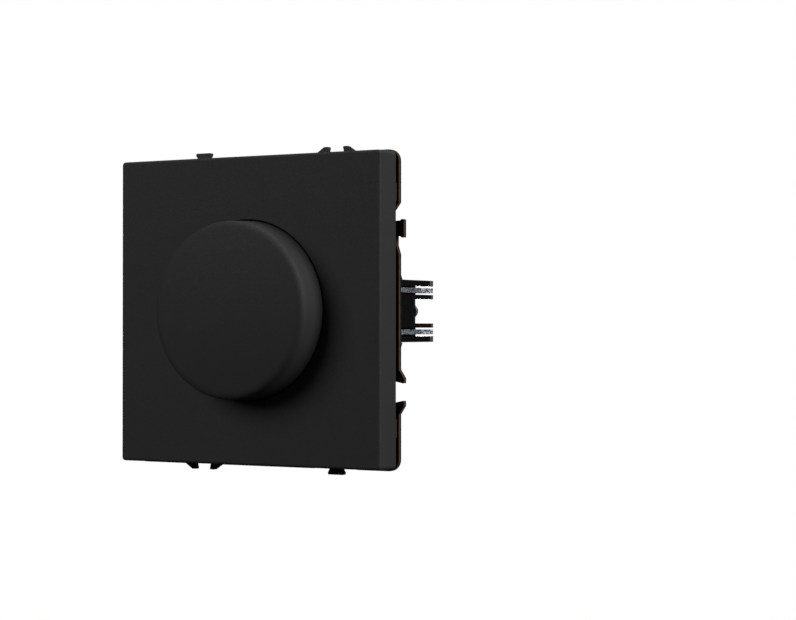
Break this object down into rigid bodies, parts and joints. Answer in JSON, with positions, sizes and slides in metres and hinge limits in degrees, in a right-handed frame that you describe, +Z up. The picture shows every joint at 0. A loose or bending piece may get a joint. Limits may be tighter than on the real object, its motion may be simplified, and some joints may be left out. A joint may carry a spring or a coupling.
{
  "type": "dimmer insert",
  "caption": "Flush-mounted rotary push dimmer with a square cover plate, round knob, steel support frame, round housing and side claws for a wall box.",
  "frame": {"origin": "centre of the support frame's rear face, on the wall plane, midway between the box screws", "axes": "+X to the right seen from the front, +Y into the wall, +Z up"},
  "size_m": [0.0734, 0.0487, 0.0734],
  "materials": {
    "cover_plastic": "fine matt anthracite moulding",
    "housing_plastic": "glossy black moulding",
    "inner_plastic": "plain grey moulding",
    "coated_steel": "dark brown passivated sheet with bright cut edges",
    "zinc_steel": "bright zinc plate",
    "spring_steel": "blue zinc plate",
    "brass": "plain brass",
    "tinned_pins": "tinned brass",
    "copper": "enamelled copper wire",
    "ferrite": "matt sintered ferrite",
    "aluminium": "plain aluminium",
    "component_black": "black moulded epoxy",
    "component_red": "dipped red-brown lacquer",
    "board_green": "glass-epoxy board"
  },
  "bodies": {
    "root": {"cover_plate": "cover_plastic", "front_cover": "housing_plastic", "rear_housing": "housing_plastic", "claw_guide_right": "housing_plastic", "claw_guide_left": "housing_plastic", "plate_nut": "inner_plastic", "terminal_block": "inner_plastic", "potentiometer_back": "inner_plastic", "support_frame": "coated_steel", "bushing_nut": "zinc_steel", "terminal_screws": "zinc_steel", "claw_spring_right": "spring_steel", "claw_spring_left": "spring_steel", "return_spring": "spring_steel", "terminal_clamps": "brass", "potentiometer_pins": "tinned_pins", "choke_winding": "copper", "choke_core": "ferrite", "heat_spreader": "aluminium", "electrolytic_capacitor": "aluminium", "potentiometer_case": "aluminium", "power_transistors": "component_black", "film_capacitor": "component_red", "varistor": "component_red", "main_board": "board_green"},
    "plunger": {"switch_plunger": "inner_plastic"},
    "knob": {"rotary_knob": "cover_plastic", "potentiometer_shaft": "zinc_steel"},
    "claw_screw_right": {"claw_screw_right": "zinc_steel", "claw_washer_right": "zinc_steel"},
    "claw_nut_right": {"claw_nut_right": "zinc_steel"},
    "claw_right": {"claw_right": "zinc_steel"},
    "claw_screw_left": {"claw_screw_left": "zinc_steel", "claw_washer_left": "zinc_steel"},
    "claw_nut_left": {"claw_nut_left": "zinc_steel"},
    "claw_left": {"claw_left": "zinc_steel"}
  },
  "joints": [
    {"name": "knob_push", "type": "slide", "parent": "root", "child": "plunger", "axis": [0, 1, 0], "range_m": [0, 0.001], "stiffness_N_per_m": 2000, "springref_m": -0.001, "deforming": ["return_spring"]},
    {"name": "knob_turn", "type": "hinge", "parent": "plunger", "child": "knob", "pos_m": [0, 0, 0], "axis": [0, 1, 0], "range_deg": [-145, 145]},
    {"name": "claw_screw_turn_right", "type": "hinge", "parent": "root", "child": "claw_screw_right", "pos_m": [0.0245, 0.0075, 0], "axis": [0, 1, 0], "range_deg": [0, 1080]},
    {"name": "claw_nut_slide_right", "type": "slide", "parent": "root", "child": "claw_nut_right", "axis": [0, -1, 0], "range_m": [0, 0.0015], "deforming": ["claw_spring_right"]},
    {"name": "claw_swing_right", "type": "hinge", "parent": "claw_nut_right", "child": "claw_right", "pos_m": [0.0222, 0.0119, 0], "axis": [0, 0, -1], "range_deg": [0, 15]},
    {"name": "claw_screw_turn_left", "type": "hinge", "parent": "root", "child": "claw_screw_left", "pos_m": [-0.0245, 0.0075, 0], "axis": [0, 1, 0], "range_deg": [0, 1080]},
    {"name": "claw_nut_slide_left", "type": "slide", "parent": "root", "child": "claw_nut_left", "axis": [0, -1, 0], "range_m": [0, 0.0015], "deforming": ["claw_spring_left"]},
    {"name": "claw_swing_left", "type": "hinge", "parent": "claw_nut_left", "child": "claw_left", "pos_m": [-0.0222, 0.0119, 0], "axis": [0, 0, 1], "range_deg": [0, 15]}
  ],
  "couplings": [
    {"joint": "claw_screw_turn_right", "follows": "claw_nut_slide_right", "rad_per_m": 12565},
    {"joint": "claw_swing_right", "follows": "claw_nut_slide_right", "rad_per_m": 174.52},
    {"joint": "claw_screw_turn_left", "follows": "claw_nut_slide_left", "rad_per_m": 12565},
    {"joint": "claw_swing_left", "follows": "claw_nut_slide_left", "rad_per_m": 174.52}
  ]
}
